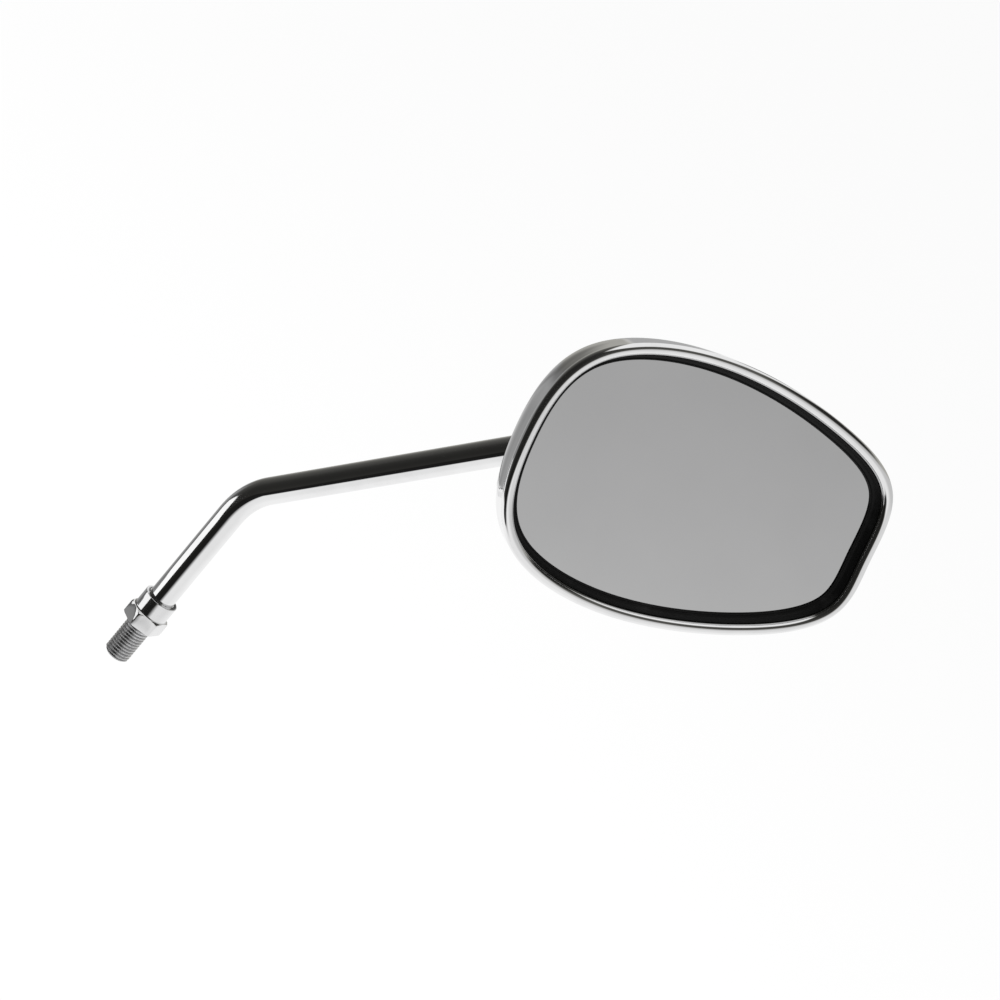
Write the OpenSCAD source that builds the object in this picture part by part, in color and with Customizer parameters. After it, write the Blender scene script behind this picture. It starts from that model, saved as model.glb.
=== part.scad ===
/* [Stem] */
// Diameter of the round rod
rod_d = 10; // [9:0.5:11]
// Outer diameter of the thread, a little under the rod
thread_d = 9.9; // [8.8:0.1:9.9]
// Length of the free thread, from its tip to the origin
thread_len = 15; // [12:0.5:22]
// Length of thread that runs on inside the lock nut
thread_hidden_len = 12; // [10:0.5:12]
// Diameter of the plain core drawn for the thread inside the lock nut
thread_core_d = 9.3; // [8.8:0.1:9.4]
// Chamfer at the tip of the thread
tip_chamfer = 1; // [0.6:0.1:1.4]
// Height of the corner where the two straight runs of the stem would meet
corner_z = 65.6; // [55:0.1:80]
// Angle by which the stem bends
bend_angle = 38.4; // [30:0.1:50]
// Radius of the bend, on the rod's centreline
bend_radius = 29; // [24:1:34]
// Length of the arm from that corner to the middle of the ball
arm_len = 153.6; // [130:0.1:180]
// Diameter of the turned-down shank that carries the ball
shank_d = 8; // [7:0.25:8.5]
// Distance from the middle of the ball to the shoulder of the shank
shoulder_at = 20; // [19:0.5:24]
// Length of the cone between the shank and the full rod
shoulder_len = 1.5; // [1:0.25:3]

/* [Lock nut] */
// Height of the nut's bottom above the end of the free thread
nut_foot_z = 1; // [0.3:0.1:1.5]
// Width of the hexagon across its flats
nut_flats = 14; // [13.8:0.2:17]
// Angle by which the hexagon is turned on the stem
nut_turn = 39; // [0:1:59]
// Height of the hexagon
nut_hex_h = 5.7; // [5:0.1:7]
// Height of the whole nut with its collar
nut_h = 12.7; // [12.6:0.1:16]
// Diameter of the round collar above the hexagon
nut_collar_d = 13.3; // [12.4:0.1:13.6]
// Radius of the fillet between the hexagon and the collar
nut_fillet = 0.8; // [0.5:0.1:1]
// Chamfer round the hexagon's bottom
nut_chamfer = 0.5; // [0.3:0.1:1]
// Chamfer round the collar's top
nut_edge = 0.2; // [0.1:0.05:0.5]

/* [Ball joint] */
// Diameter of the ball
ball_d = 16; // [15:0.25:16.5]
// Thickness of the two nylon seats
seat_t = 1.5; // [1:0.1:1.8]
// Running gap at each spherical face of the seats
seat_gap = 0.1; // [0.05:0.01:0.15]
// Height above the ball's middle at which the pressure seat's rim lies
pressure_rim_z = 4; // [3.5:0.25:5]
// Distance below the ball's middle at which the neck seat's rim lies
neck_rim_z = 0.5; // [0.3:0.1:1]
// Gap between the shank and the hole in the neck seat
shank_gap = 0.6; // [0.4:0.1:1]
// Largest swing of the ball in its socket, both tilts together
swing = 17; // [15:0.5:18]

/* [Socket] */
// Outer diameter of the socket's round body
socket_d = 27; // [26.5:0.25:29]
// Outer diameter of the neck
neck_d = 22.4; // [22:0.1:24]
// Distance from the ball's middle to the neck's mouth
neck_mouth_at = 15.5; // [14.5:0.25:16]
// Distance from the ball's middle at which the neck starts
neck_start_at = 4.5; // [4:0.25:6]
// Diameter of the flange inside the housing
flange_d = 40.4; // [40:0.2:42]
// Thickness of the flange
flange_t = 3; // [2.5:0.25:3.5]
// Clearance of the socket in the housing's hole
socket_hole_gap = 0.3; // [0.2:0.1:0.5]

/* [Clamp] */
// Number of studs and springs
clamp_count = 3; // [3:1:3]
// Radius of the circle on which the studs stand
stud_circle_r = 16.3; // [16:0.1:16.6]
// Diameter of the studs
stud_d = 4; // [3.5:0.25:4.25]
// Diameter of the clamp plate
plate_d = 40.4; // [40:0.2:42]
// Thickness of the clamp plate
plate_t = 2; // [1.5:0.1:2.2]
// Height of the gap that the springs hold between flange and plate
plate_gap = 1; // [0.6:0.1:1.4]
// Diameter of the plate's hub that presses on the ball
hub_d = 22; // [21.5:0.1:22.2]
// Clearance of the hub in the socket
hub_gap = 0.2; // [0.1:0.05:0.3]
// Clearance of the plate and washers on the studs
stud_gap = 0.2; // [0.1:0.05:0.3]
// Working height of the springs
spring_h = 5.5; // [5:0.1:5.6]
// Diameter of the spring wire
spring_wire_d = 0.8; // [0.6:0.05:0.9]
// Outer diameter of the springs
spring_d = 7; // [6.2:0.1:7.2]
// Turns in each spring
spring_turns = 4; // [3:1:4]
// Thickness of the washers
washer_t = 0.6; // [0.4:0.1:0.7]
// Outer diameter of the washers
washer_d = 7.6; // [7:0.2:8]
// Width of the clamp nuts across their flats
clamp_nut_flats = 7; // [6.5:0.25:7.5]
// Height of the clamp nuts
clamp_nut_h = 2.8; // [2.2:0.1:3]

/* [Head place] */
// First turn of the head, about the row's X axis
head_turn_x = 74.3; // [65:0.1:85]
// Second turn of the head, about the row's Y axis
head_turn_y = -13.7; // [-20:0.1:-5]
// Third turn of the head, about the row's Z axis
head_turn_z = 58.4; // [50:0.1:66]

/* [Housing] */
// Length of the rim, between the crests of its bead
rim_len = 135; // [125:1:150]
// Width of the rim, between the crests of its bead
rim_wid = 92; // [88:1:102]
// Height of the bead's crest above the middle of the ball
crest_z = 34; // [34:0.1:36]
// Radius of the rolled bead
bead_r = 2; // [1.8:0.1:2.3]
// Thickness of the sheet
sheet_t = 1; // [0.8:0.05:1.1]
// Depth from the crest at which the side wall turns into the dome
wall_depth = 7.5; // [5.5:0.25:8]
// Depth of the dome's flat back below the crest
back_depth = 29; // [29:0.1:30]
// Radius of the flat back
flat_r = 20.5; // [20.5:0.25:22]
// Distance that the wall's top stands outside the bead's crest line
wall_out = 1.6; // [1.4:0.05:1.7]
// Distance by which the wall leans in over its depth
wall_lean = 0.3; // [0:0.05:0.5]

/* [Glass] */
// Distance from the bead's crest line in to the glass that shows
glass_show = 4.85; // [4.5:0.05:6]
// Distance that the gasket's lip laps over the glass
lip_lap = 1.5; // [1:0.1:2]
// Height of the gasket's lip above the glass
lip_h = 1.5; // [1.2:0.1:1.7]
// Depth of the glass's face below the crest at its middle
glass_depth = 4.6; // [4.4:0.1:5]
// Thickness of the glass
glass_t = 2; // [1.8:0.1:2.2]
// Radius of the glass's curved face
glass_r = 1300; // [1000:50:1400]
// Thickness of the foam behind the glass's middle
foam_t = 4; // [3.8:0.1:4.2]
// Thickness of the backing plate
backing_t = 1; // [0.8:0.1:1]
// Reach of the gasket's back lip behind the backing plate
base_lip = 2.5; // [2:0.1:3]
// Thickness of the gasket's back lip
base_t = 1; // [0.8:0.1:1]
// Clearance between the stacked parts and the gasket
stack_gap = 0.1; // [0.05:0.05:0.2]

/* [Hidden] */
clamps = [0 : clamp_count - 1];

smooth = 96;
fine = 48;
slack = 0.05;

rod_r = rod_d / 2;
thread_r = thread_d / 2;
shank_r = shank_d / 2;
ball_r = ball_d / 2;
seat_in_r = ball_r + seat_gap;
seat_out_r = seat_in_r + seat_t;
socket_in_r = seat_out_r + seat_gap;
socket_r = socket_d / 2;
hub_r = hub_d / 2;
nut_bore_r = rod_r + slack;

// The straight runs lap over the ends of the bend, which is drawn a hair thinner by the bending
bend_lap = 0.4;
bend_thin = 0.02;
bend_reach = bend_radius * tan(bend_angle / 2);
ball_place = [arm_len * sin(bend_angle), 0, corner_z + arm_len * cos(bend_angle)];
rod_end_in_ball = ball_r * 0.6;

// The shank clears the neck's cone at the largest swing
cone_slope = tan(swing) + 0.005;
cone_r0 = shank_r / cos(swing) + 0.25;

// Levels in the head, from the middle of the ball towards the glass
bead_z = crest_z - bead_r;
wall_z = crest_z - wall_depth;
back_z = crest_z - back_depth;
floor_z = back_z + sheet_t;
flange_top = floor_z + flange_t;
plate_z = flange_top + plate_gap;
plate_top = plate_z + plate_t;
washer_z = plate_top + spring_h;
nut_z = washer_z + washer_t;
stud_top = nut_z + clamp_nut_h + 0.4;
glass_apex = crest_z - glass_depth;
backing_top = glass_apex - glass_t - foam_t;
backing_z = backing_top - backing_t;
glass_inset = glass_show - lip_lap;

// The dome's inner skin goes from the wall to the floor in equal turns
inner_step = 15;
inner_wall_z = wall_z + sheet_t / 2;
function inner_level(a) = inner_wall_z - (inner_wall_z - floor_z) * sin(a);

// The rim is a closed curve through ten shares of its length and width, from the pivot
rim_shares = [[0.6595, -0.142], [0.696, 0.15], [0.514, 0.305], [0.129, 0.465], [-0.274, 0.371],
              [-0.339, -0.047], [-0.32, -0.467], [0.038, -0.612], [0.433, -0.522], [0.6675, -0.371]];
rim_points = [for (s = rim_shares) [s.x * rim_len, s.y * rim_wid]];
span_steps = 8;
rim_count = len(rim_points) * span_steps;
rim_mid = [0.218 * rim_len, -0.087 * rim_wid];

function curve_weights(t) = [pow(1 - t, 3), 3 * pow(t, 3) - 6 * t * t + 4,
                             -3 * pow(t, 3) + 3 * t * t + 3 * t + 1, pow(t, 3)] / 6;
function slope_weights(t) = [-pow(1 - t, 2), 3 * t * t - 4 * t, -3 * t * t + 2 * t + 1, t * t] / 2;
function around(k) = rim_points[(k + len(rim_points)) % len(rim_points)];
function blend(k, w) = w[0] * around(k - 1) + w[1] * around(k) + w[2] * around(k + 1) + w[3] * around(k + 2);
function rim_at(i) = blend(floor(i / span_steps), curve_weights((i % span_steps) / span_steps));
function rim_run(i) = blend(floor(i / span_steps), slope_weights((i % span_steps) / span_steps));
function rim_out(i) = let (d = rim_run(i)) [d.y, -d.x] / norm(d);

rim = [for (i = [0 : rim_count - 1]) rim_at(i)];
out = [for (i = [0 : rim_count - 1]) rim_out(i)];

// The rim curve moved out by a distance
function rim_path(offset) = [for (i = [0 : rim_count - 1]) rim[i] + out[i] * offset];
// Drop of the glass's face at a point, below its apex
function glass_drop(p) = glass_r - sqrt(pow(glass_r, 2) - pow(norm(p - rim_mid), 2));

// One ring of a lofted wall: an offset rim at one level
function ring(offset, z) = [for (p = rim_path(offset)) [p.x, p.y, z]];
// A ring that follows the glass's curved face, above or below it by rise
function glass_ring(offset, rise) =
    [for (p = rim_path(offset)) [p.x, p.y, glass_apex - glass_drop(p) + rise]];
// A ring part of the way from an offset rim to a circle about the pivot
function dome_ring(offset, r, z, share) =
    [for (p = rim_path(offset)) let (c = p / norm(p) * r, q = c + (p - c) * share) [q.x, q.y, z]];

// Closed skin through rings that return to the first one
module loft(rings) {
    n = len(rings[0]);
    m = len(rings);
    polyhedron(
        points = [for (r = rings) each r],
        faces = [for (j = [0 : m - 1], i = [0 : n - 1])
            let (k = (j + 1) % m, l = (i + 1) % n) [j * n + i, j * n + l, k * n + l, k * n + i]],
        convexity = 6);
}

// Coil spring with its lower end on z = 0 and closed end turns
module coil(d, wire_d, h, turns) {
    sides = 6;
    steps = 14 * turns;
    wire_r = wire_d / 2;
    coil_r = d / 2 - wire_r;
    closed = 0.25;
    function climb(u) = u - closed * sin(360 * u) / 360 * 180 / PI;
    centres = [for (s = [0 : steps]) let (u = s / steps)
        [360 * turns * u, wire_r + (h - wire_d) * climb(u)]];
    points = [for (c = centres, k = [0 : sides - 1]) let (t = 360 * k / sides, r = coil_r + wire_r * cos(t))
        [r * cos(c[0]), r * sin(c[0]), c[1] + wire_r * sin(t)]];
    last = steps * sides;
    polyhedron(
        points = points,
        faces = concat(
            [[for (k = [0 : sides - 1]) k]],
            [for (s = [0 : steps - 1], k = [0 : sides - 1])
                let (a = s * sides, l = (k + 1) % sides) [a + k, a + sides + k, a + sides + l, a + l]],
            [[for (k = [sides - 1 : -1 : 0]) last + k]]),
        convexity = 8);
}

// Part of a sphere's shell
module bowl(r_in, r_out) {
    difference() {
        sphere(r_out, $fn = smooth);
        sphere(r_in, $fn = smooth);
    }
}

// Places things with the ball's middle as origin and +z along the arm, away from the bend
module on_arm() { translate(ball_place) rotate([0, bend_angle, 0]) children(); }

// Places things with the ball's middle as origin and +z square out of the glass
module in_head() {
    translate(ball_place) rotate([head_turn_x, head_turn_y, head_turn_z]) children();
}

module at_clamps() {
    for (k = clamps) at_clamp(k) children();
}

module at_clamp(k) { rotate(90 + 360 / clamp_count * k) translate([stud_circle_r, 0, 0]) children(); }

module stem_rod() color("gainsboro") {
    translate([0, 0, -thread_len]) cylinder(h = tip_chamfer, r1 = thread_r - tip_chamfer, r2 = thread_r, $fn = smooth);
    translate([0, 0, tip_chamfer - thread_len]) cylinder(h = thread_len - tip_chamfer, r = thread_r, $fn = smooth);
    cylinder(h = nut_foot_z + thread_hidden_len, r = thread_core_d / 2, $fn = smooth);
    translate([0, 0, nut_foot_z + thread_hidden_len])
        cylinder(h = corner_z - bend_reach - nut_foot_z - thread_hidden_len + bend_lap, r = rod_r, $fn = smooth);
    translate([bend_radius, 0, corner_z - bend_reach]) rotate([90, 0, 0]) mirror([1, 0, 0])
        rotate_extrude(angle = bend_angle, $fn = smooth)
            translate([bend_radius, 0]) circle(rod_r - bend_thin, $fn = smooth);
    on_arm() {
        translate([0, 0, bend_reach - arm_len - bend_lap])
            cylinder(h = arm_len - bend_reach - shoulder_at - shoulder_len + bend_lap, r = rod_r, $fn = smooth);
        translate([0, 0, -shoulder_at - shoulder_len])
            cylinder(h = shoulder_len, r1 = rod_r, r2 = shank_r, $fn = smooth);
        translate([0, 0, -shoulder_at]) cylinder(h = shoulder_at + rod_end_in_ball, r = shank_r, $fn = smooth);
    }
}

module stem_ball() color("silver") on_arm() difference() {
    sphere(ball_r, $fn = smooth);
    translate([0, 0, -ball_d]) cylinder(h = ball_d + rod_end_in_ball, r = shank_r, $fn = smooth);
}

module lock_nut() color("gainsboro") translate([0, 0, nut_foot_z]) {
    corner_r = nut_flats / sqrt(3);
    collar_r = nut_collar_d / 2;
    shoulder = corner_r - collar_r - nut_fillet;
    fillet_arc = [for (a = [0 : 15 : 90])
        [collar_r + nut_fillet * (1 - sin(a)), nut_hex_h + nut_fillet * (1 - cos(a))]];
    difference() {
        intersection() {
            rotate(nut_turn) cylinder(h = nut_h, r = corner_r, $fn = 6);
            rotate_extrude($fn = smooth) polygon(concat(
                [[0, 0], [corner_r - nut_chamfer, 0], [corner_r, nut_chamfer * 0.6], [corner_r, nut_hex_h - shoulder]],
                fillet_arc, [[collar_r, nut_h - nut_edge], [collar_r - nut_edge, nut_h], [0, nut_h]]));
        }
        translate([0, 0, -1]) cylinder(h = nut_h + 2, r = nut_bore_r, $fn = smooth);
    }
}

module neck_seat() color("ivory") difference() {
    in_head() difference() {
        bowl(seat_in_r, seat_out_r);
        translate([0, 0, -neck_rim_z]) cylinder(h = ball_d, r = ball_d, $fn = smooth);
    }
    on_arm() translate([0, 0, -ball_d]) cylinder(h = ball_d, r = shank_r + shank_gap, $fn = smooth);
}

module pressure_seat() color("ivory") in_head() difference() {
    bowl(seat_in_r, seat_out_r);
    translate([0, 0, pressure_rim_z - 2 * ball_d]) cylinder(h = 2 * ball_d, r = ball_d, $fn = smooth);
    cylinder(h = ball_d, r = 2, $fn = smooth);
}

module socket() color("lightgray") difference() {
    union() {
        in_head() {
            translate([0, 0, floor_z]) cylinder(h = flange_t, r = flange_d / 2, $fn = smooth);
            cylinder(h = flange_top, r = socket_r, $fn = smooth);
            sphere(socket_r, $fn = smooth);
        }
        on_arm() translate([0, 0, -neck_mouth_at])
            cylinder(h = neck_mouth_at - neck_start_at, r = neck_d / 2, $fn = smooth);
    }
    in_head() {
        sphere(socket_in_r, $fn = smooth);
        translate([0, 0, 1]) cylinder(h = ball_d + flange_top, r = hub_r + hub_gap, $fn = smooth);
        cylinder(h = 2, r = socket_in_r, $fn = smooth);
        translate([0, 0, floor_z - 1]) at_clamps() cylinder(h = flange_t + 2, r = stud_d / 2, $fn = fine);
    }
    on_arm() translate([0, 0, -neck_mouth_at - 1])
        cylinder(h = neck_mouth_at + 1, r1 = cone_r0 + cone_slope * (neck_mouth_at + 1), r2 = cone_r0, $fn = smooth);
}

module clamp_plate() color("silver") in_head() difference() {
    union() {
        translate([0, 0, plate_z]) cylinder(h = plate_t, r = plate_d / 2, $fn = smooth);
        translate([0, 0, pressure_rim_z]) cylinder(h = plate_z - pressure_rim_z, r = hub_r, $fn = smooth);
    }
    sphere(socket_in_r, $fn = smooth);
    translate([0, 0, plate_z - 1]) at_clamps() cylinder(h = plate_t + 2, r = stud_d / 2 + stud_gap, $fn = fine);
}

module clamp_studs() color("darkgray") in_head() at_clamps()
    translate([0, 0, floor_z + slack]) cylinder(h = stud_top - floor_z - slack, r = stud_d / 2, $fn = fine);

module clamp_washers() color("silver") in_head() at_clamps() translate([0, 0, washer_z]) difference() {
    cylinder(h = washer_t, r = washer_d / 2, $fn = fine);
    translate([0, 0, -1]) cylinder(h = washer_t + 2, r = stud_d / 2 + stud_gap, $fn = fine);
}

module clamp_nuts() color("silver") in_head() at_clamps() translate([0, 0, nut_z]) difference() {
    cylinder(h = clamp_nut_h, r = clamp_nut_flats / sqrt(3), $fn = 6);
    translate([0, 0, -1]) cylinder(h = clamp_nut_h + 2, r = stud_d / 2 + slack, $fn = fine);
}

module clamp_spring(k) color("dimgray") in_head() at_clamp(k)
    translate([0, 0, plate_top + 0.02]) coil(spring_d, spring_wire_d, spring_h - 0.04, spring_turns);

module housing() color("whitesmoke") in_head() {
    bead_in_r = bead_r - sheet_t;
    edge_z = bead_z - bead_r * 0.7;
    crease_z = bead_z - bead_r * 0.85;
    hole_r = socket_r + socket_hole_gap;
    dome_drop = wall_z - back_z;
    bead_arc = [for (a = [180 : -30 : 0]) ring(bead_r * cos(a), bead_z + bead_r * sin(a))];
    bead_inner_arc = [for (a = [0 : 45 : 180]) ring(bead_in_r * cos(a), bead_z + bead_in_r * sin(a))];
    outer_dome = [for (a = [11.25 : 11.25 : 90])
        dome_ring(wall_out - wall_lean, flat_r, wall_z - dome_drop * sin(a), cos(a))];
    inner_dome = [for (a = [90 : -inner_step : inner_step])
        dome_ring(wall_out - wall_lean - sheet_t, flat_r, inner_level(a), cos(a))];
    loft(concat(
        [ring(-bead_r, edge_z)], bead_arc,
        [ring(wall_out, crease_z), ring(wall_out - wall_lean, wall_z)], outer_dome,
        [dome_ring(0, hole_r, back_z, 0), dome_ring(0, hole_r, floor_z, 0)], inner_dome,
        [ring(wall_out - wall_lean - sheet_t, inner_wall_z), ring(wall_out - sheet_t, crease_z)],
        bead_inner_arc, [ring(-bead_in_r, edge_z)]));
}

module gasket() color("black") in_head() {
    bead_edge = bead_r + stack_gap;
    wall_in = wall_out - wall_lean - sheet_t - stack_gap;
    shoulder_z = bead_z - bead_r * 0.75;
    groove_in = glass_inset - stack_gap;
    lip_in = glass_inset + base_lip;
    loft([
        ring(-bead_edge, bead_z - bead_r * 0.1), ring(-bead_edge, shoulder_z), ring(wall_in, shoulder_z),
        ring(wall_in, inner_wall_z), dome_ring(wall_in, flat_r, inner_level(inner_step), cos(inner_step)),
        ring(-lip_in, backing_z - base_t), ring(-lip_in, backing_z - stack_gap),
        ring(-groove_in, backing_z - stack_gap), glass_ring(-groove_in, stack_gap),
        glass_ring(-glass_show, stack_gap), glass_ring(lip_h / 6 - glass_show, lip_h / 2),
        glass_ring(-groove_in, lip_h)]);
}

module glass() color("slategray") in_head() difference() {
    intersection() {
        translate([0, 0, backing_top]) linear_extrude(crest_z - backing_top) polygon(rim_path(-glass_inset));
        translate([rim_mid.x, rim_mid.y, glass_apex - glass_r]) sphere(glass_r, $fn = 200);
    }
    translate([rim_mid.x, rim_mid.y, glass_apex - glass_t - glass_r]) sphere(glass_r, $fn = 200);
}

module foam_pad() color("dimgray") in_head() intersection() {
    lens_r = 0.7 * rim_len;
    lens_top = glass_apex - glass_t - slack;
    arc = [for (s = [0 : 16]) let (r = lens_r * s / 16)
        [r, lens_top - glass_r + sqrt(pow(glass_r, 2) - r * r)]];
    translate([0, 0, backing_top]) linear_extrude(crest_z - backing_top)
        polygon(rim_path(-glass_inset - stack_gap));
    translate([rim_mid.x, rim_mid.y, 0]) rotate_extrude($fn = smooth)
        polygon(concat([[0, backing_top - 1], [lens_r, backing_top - 1]], [for (s = [16 : -1 : 0]) arc[s]]));
}

module backing_plate() color("gray") in_head() translate([0, 0, backing_z])
    linear_extrude(backing_t) polygon(rim_path(-glass_inset));

stem_rod();
stem_ball();
lock_nut();
neck_seat();
pressure_seat();
socket();
clamp_plate();
clamp_studs();
clamp_washers();
clamp_nuts();
for (k = clamps) clamp_spring(k);
housing();
gasket();
glass();
foam_pad();
backing_plate();
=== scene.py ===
import math
import bmesh
import bpy
import numpy as np
from mathutils import Euler, Matrix, Vector


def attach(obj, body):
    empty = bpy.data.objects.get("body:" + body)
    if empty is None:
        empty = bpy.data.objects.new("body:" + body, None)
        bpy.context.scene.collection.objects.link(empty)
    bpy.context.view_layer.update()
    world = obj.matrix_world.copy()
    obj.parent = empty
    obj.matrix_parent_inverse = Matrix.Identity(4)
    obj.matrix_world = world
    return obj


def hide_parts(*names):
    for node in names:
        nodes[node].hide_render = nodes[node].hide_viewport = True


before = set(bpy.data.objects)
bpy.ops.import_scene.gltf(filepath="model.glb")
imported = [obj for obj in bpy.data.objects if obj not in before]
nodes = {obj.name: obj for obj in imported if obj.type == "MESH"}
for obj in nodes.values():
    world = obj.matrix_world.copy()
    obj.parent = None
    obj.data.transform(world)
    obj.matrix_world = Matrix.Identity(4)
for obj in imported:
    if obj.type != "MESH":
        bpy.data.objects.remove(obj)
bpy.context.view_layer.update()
mm = 0.001
tau = 2 * math.pi
print("frame loaded:", len(nodes), "nodes")


# Node trees

class Value:
    # one output of a node, which can stand in a sum
    def __init__(self, kit, socket):
        self.kit, self.socket = kit, socket

    def out(self, name):
        return Value(self.kit, self.socket.node.outputs[name])

    def maths(self, operation, first, second=0.0):
        return self.kit.node("ShaderNodeMath", {"operation": operation}, [first, second])

    def __add__(self, other): return self.maths("ADD", self, other)
    def __sub__(self, other): return self.maths("SUBTRACT", self, other)
    def __rsub__(self, other): return self.maths("SUBTRACT", other, self)
    def __mul__(self, other): return self.maths("MULTIPLY", self, other)
    def __truediv__(self, other): return self.maths("DIVIDE", self, other)
    def root(self): return self.maths("SQRT", self)
    def wave(self): return self.maths("SINE", self)
    def turn(self): return self.maths("COSINE", self)
    def turnBack(self): return self.maths("ARCCOSINE", self)
    def least(self, other): return self.maths("MINIMUM", self, other)
    def most(self, other): return self.maths("MAXIMUM", self, other)

    def ramp(self, low, high, atLow=0.0, atHigh=1.0):
        # smooth step from atLow to atHigh between low and high
        return self.kit.node("ShaderNodeMapRange", {"interpolation_type": "SMOOTHSTEP"},
                             [self, low, high, atLow, atHigh])


class Kit:
    # builds nodes in one tree
    def __init__(self, tree):
        self.tree = tree

    def node(self, kind, settings=None, inputs=None, output=0):
        made = self.tree.nodes.new(kind)
        for key, setting in (settings or {}).items():
            if key == "stops":
                self.setStops(made.color_ramp, setting)
            else:
                setattr(made, key, setting)
        pairs = inputs.items() if isinstance(inputs, dict) else enumerate(inputs or [])
        for key, value in pairs:
            socket = made.inputs[key]
            if isinstance(value, Value):
                self.tree.links.new(value.socket, socket)
            else:
                socket.default_value = value
        return Value(self, made.outputs[output]) if len(made.outputs) else Value(self, None)

    def setStops(self, ramp, stops):
        while len(ramp.elements) < len(stops):
            ramp.elements.new(1.0)
        for element, (place, colour) in zip(ramp.elements, stops):
            element.position = place
            element.color = (*colour, 1.0)

    def blendColours(self, share, first, second):
        made = self.tree.nodes.new("ShaderNodeMix")
        made.data_type = "RGBA"
        for socket, value in zip([made.inputs[0], made.inputs[6], made.inputs[7]], [share, first, second]):
            if isinstance(value, Value):
                self.tree.links.new(value.socket, socket)
            else:
                socket.default_value = (*value, 1.0)
        return Value(self, made.outputs[2])

    def blend(self, share, first, second):
        # plain numbers or values, from first at 0 to second at 1
        return share * (second - first) + first

    def split(self, vector):
        parts = self.node("ShaderNodeSeparateXYZ", None, [vector])
        return parts, parts.out("Y"), parts.out("Z")

    def join(self, x, y, z):
        return self.node("ShaderNodeCombineXYZ", None, [x, y, z])

    def along(self, vector, direction):
        # how far a vector reaches along a fixed direction
        return self.node("ShaderNodeVectorMath", {"operation": "DOT_PRODUCT"},
                         [vector, tuple(direction)], output="Value")

    def noise(self, place, scale, detail=3.0, roughness=0.5):
        return self.node("ShaderNodeTexNoise", None,
                         {"Vector": place, "Scale": scale, "Detail": detail, "Roughness": roughness})


class Finish(Kit):
    # a material with one Principled shader
    def __init__(self, name, metallic=0.0, **fixed):
        self.material = bpy.data.materials.new(name)
        self.material.use_nodes = True
        super().__init__(self.material.node_tree)
        self.shader = self.tree.nodes["Principled BSDF"]
        self.shader.inputs["Metallic"].default_value = metallic
        for key, value in fixed.items():
            self.shader.inputs[key.replace("_", " ")].default_value = value
        self.place = self.node("ShaderNodeTexCoord", output="Object")

    def put(self, name, value):
        if isinstance(value, Value):
            self.tree.links.new(value.socket, self.shader.inputs[name])
        else:
            self.shader.inputs[name].default_value = value

    def relief(self, height, depth, strength=1.0):
        self.put("Normal", self.node("ShaderNodeBump", None,
                 {"Strength": strength, "Distance": depth, "Height": height}))


# Shared measures of the part, as in its source, in millimetres

stem = {"rodR": 5.0, "cornerZ": 65.6, "bendDeg": 38.4, "bendR": 29.0, "armLen": 153.6,
        "shankR": 4.0, "shoulderAt": 20.0, "shoulderLen": 1.5, "rodEnd": 4.8}
bend = math.radians(stem["bendDeg"])
ballPlace = Vector((stem["armLen"] * math.sin(bend), 0, stem["cornerZ"] + stem["armLen"] * math.cos(bend)))
armWay = Vector((math.sin(bend), 0, math.cos(bend)))
headTurn = Euler([math.radians(a) for a in (74.3, -13.7, 58.4)], "XYZ").to_matrix()


def headToRow(points):
    # from head coordinates in millimetres to the row's metres
    turned = np.asarray(points, float) @ np.array(headTurn).T + np.array(ballPlace)
    return turned * mm


def rowMetres(points):
    return np.asarray(points, float) * mm


# Meshes

def linked(name, data):
    # a new object in the scene
    piece = bpy.data.objects.new(name, data)
    bpy.context.scene.collection.objects.link(piece)
    return piece


def smoothMesh(mesh, sharpDeg):
    # smooth faces, with edges that turn further than this kept sharp
    mesh.shade_smooth()
    mesh.set_sharp_from_angle(angle=math.radians(sharpDeg))


def meshPiece(name, points, faces, material, sharpDeg=35.0):
    mesh = bpy.data.meshes.new(name)
    mesh.from_pydata([tuple(p) for p in points], [], faces)
    mesh.validate()
    mesh.update()
    smoothMesh(mesh, sharpDeg)
    mesh.materials.append(material)
    return linked(name, mesh)


def weld(piece, distance=1e-6):
    work = bmesh.new()
    work.from_mesh(piece.data)
    bmesh.ops.remove_doubles(work, verts=work.verts, dist=distance)
    bmesh.ops.dissolve_degenerate(work, dist=distance, edges=work.edges)
    bmesh.ops.recalc_face_normals(work, faces=work.faces)
    work.to_mesh(piece.data)
    work.free()
    piece.data.update()


def ringFaces(rows, count, closedRows):
    faces = []
    for j in range(rows if closedRows else rows - 1):
        k = (j + 1) % rows
        for i in range(count):
            l = (i + 1) % count
            faces.append([j * count + i, j * count + l, k * count + l, k * count + i])
    return faces


def skin(name, rings, material, closed=True, caps=False, sharpDeg=35.0):
    # skin over rings of equal count, each an array of points
    count = len(rings[0])
    faces = ringFaces(len(rings), count, closed)
    if caps:
        last = (len(rings) - 1) * count
        faces += [list(range(count))[::-1], list(range(last, last + count))]
    return meshPiece(name, np.vstack(rings), faces, material, sharpDeg)


def place(piece, body, slotName, *replaced):
    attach(piece, body)
    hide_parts(*replaced)


def refined(node, material, name, sharpDeg=30.0):
    # a welded, smoothly shaded copy of a node
    piece = linked(name, nodes[node].data.copy())
    weld(piece)
    smoothMesh(piece.data, sharpDeg)
    piece.data.materials.clear()
    piece.data.materials.append(material)
    return piece


# Finishes: colours, base roughness, and the depth of the fine relief in metres

chromeLook = {"tint": (0.87, 0.87, 0.872), "shade": (0.80, 0.80, 0.803), "rough": 0.035, "smudge": 0.05,
              "wipe": 0.012, "cloudSize": 55.0, "waveSize": 130.0, "waveDepth": 0.00001, "waveShare": 0.35}


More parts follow.
